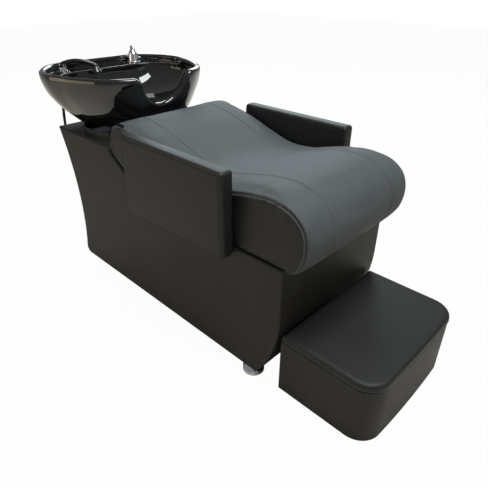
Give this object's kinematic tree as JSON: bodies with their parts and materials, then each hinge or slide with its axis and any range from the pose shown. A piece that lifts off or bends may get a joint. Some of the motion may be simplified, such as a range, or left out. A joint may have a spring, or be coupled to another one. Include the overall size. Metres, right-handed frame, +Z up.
{
  "type": "salon hair washing bed",
  "caption": "Upholstered hair washing bed with a tilting black basin, lever mixer, lift-out spray with hose, padded armrests, levelling feet and a separate footrest block.",
  "frame": {"origin": "middle of the bounding box's underside, on the floor", "axes": "+X from the basin towards the footrest, +Y to the far side, +Z up"},
  "size_m": [1.6541, 0.6284, 0.868],
  "materials": {
    "case_leather": "satin",
    "seat_leather": "satin",
    "black_basin": "gloss",
    "chrome": "polished",
    "black_plastic": "gloss",
    "matte_black": "matte",
    "board": "matte",
    "steel": "satin",
    "rubber": "matte",
    "brass": "satin"
  },
  "bodies": {
    "base": {"side_panel_near": "case_leather", "side_panel_far": "case_leather", "rear_panel": "case_leather", "rear_panel_screws": "steel", "batten_near": "board", "batten_far": "board", "front_panel": "case_leather", "basin_shelf": "case_leather", "backrest_board": "board", "seat_board": "board", "bulkhead": "board", "rail_near": "board", "rail_far": "board", "rail_rear": "board", "rail_front": "board", "foot_inserts": "board", "seat_cushion": "seat_leather", "corner_tab": "black_plastic", "armrest_near": "seat_leather", "armrest_far": "seat_leather", "arm_bolts": "steel", "shelf_collar": "matte_black", "pivot_bracket": "steel", "bracket_bolts": "steel", "tilt_axle": "steel"},
    "basin": {"basin_bowl": "black_basin", "basin_cradle": "steel", "cradle_pads": "rubber", "cradle_bolts": "steel", "waste_flange": "chrome", "waste_nut": "black_plastic", "waste_tail": "black_plastic", "mixer_ring": "chrome", "mixer_body": "chrome", "deck_nuts": "brass", "hot_tail": "steel", "cold_tail": "steel", "hose_outlet": "brass", "spray_holder": "chrome", "spray_hose": "rubber"},
    "mixer_cap": {"mixer_cap": "chrome", "lever_pin": "steel"},
    "mixer_lever": {"mixer_lever": "chrome"},
    "spray_handset": {"handset_collar": "chrome", "handset_neck": "black_plastic", "spray_rose": "matte_black", "hose_ferrule": "chrome"},
    "hair_strainer": {"hair_strainer": "chrome"},
    "footrest": {"footrest_walls": "case_leather", "footrest_top": "seat_leather", "footrest_bottom": "board", "footrest_glides": "black_plastic"},
    "foot_front_near": {"foot_cup_front_near": "chrome", "foot_stud_front_near": "steel"},
    "foot_front_far": {"foot_cup_front_far": "chrome", "foot_stud_front_far": "steel"},
    "foot_rear_near": {"foot_cup_rear_near": "chrome", "foot_stud_rear_near": "steel"},
    "foot_rear_far": {"foot_cup_rear_far": "chrome", "foot_stud_rear_far": "steel"}
  },
  "joints": [
    {"name": "basin_tilt", "type": "hinge", "parent": "base", "child": "basin", "pos_m": [-0.587, 0, 0.626], "axis": [0, -1, 0], "range_deg": [0, 8]},
    {"name": "mixer_warmth", "type": "hinge", "parent": "basin", "child": "mixer_cap", "pos_m": [-0.762, 0.169, 0.845], "axis": [0, 0, 1], "range_deg": [-40, 40]},
    {"name": "mixer_flow", "type": "hinge", "parent": "mixer_cap", "child": "mixer_lever", "pos_m": [-0.762, 0.169, 0.847], "axis": [0, -1, 0], "range_deg": [0, 25]},
    {"name": "spray_lift", "type": "slide", "parent": "basin", "child": "spray_handset", "axis": [0, 0, 1], "range_m": [0, 0.25], "deforming": ["spray_hose"]},
    {"name": "strainer_lift", "type": "slide", "parent": "basin", "child": "hair_strainer", "axis": [0, 0, 1], "range_m": [0, 0.04]},
    {"name": "footrest_slide", "type": "slide", "parent": "base", "child": "footrest", "axis": [1, 0, 0], "range_m": [0, 0.3]},
    {"name": "level_front_near", "type": "slide", "parent": "base", "child": "foot_front_near", "axis": [0, 0, -1], "range_m": [0, 0.012]},
    {"name": "level_front_far", "type": "slide", "parent": "base", "child": "foot_front_far", "axis": [0, 0, -1], "range_m": [0, 0.012]},
    {"name": "level_rear_near", "type": "slide", "parent": "base", "child": "foot_rear_near", "axis": [0, 0, -1], "range_m": [0, 0.012]},
    {"name": "level_rear_far", "type": "slide", "parent": "base", "child": "foot_rear_far", "axis": [0, 0, -1], "range_m": [0, 0.012]}
  ]
}
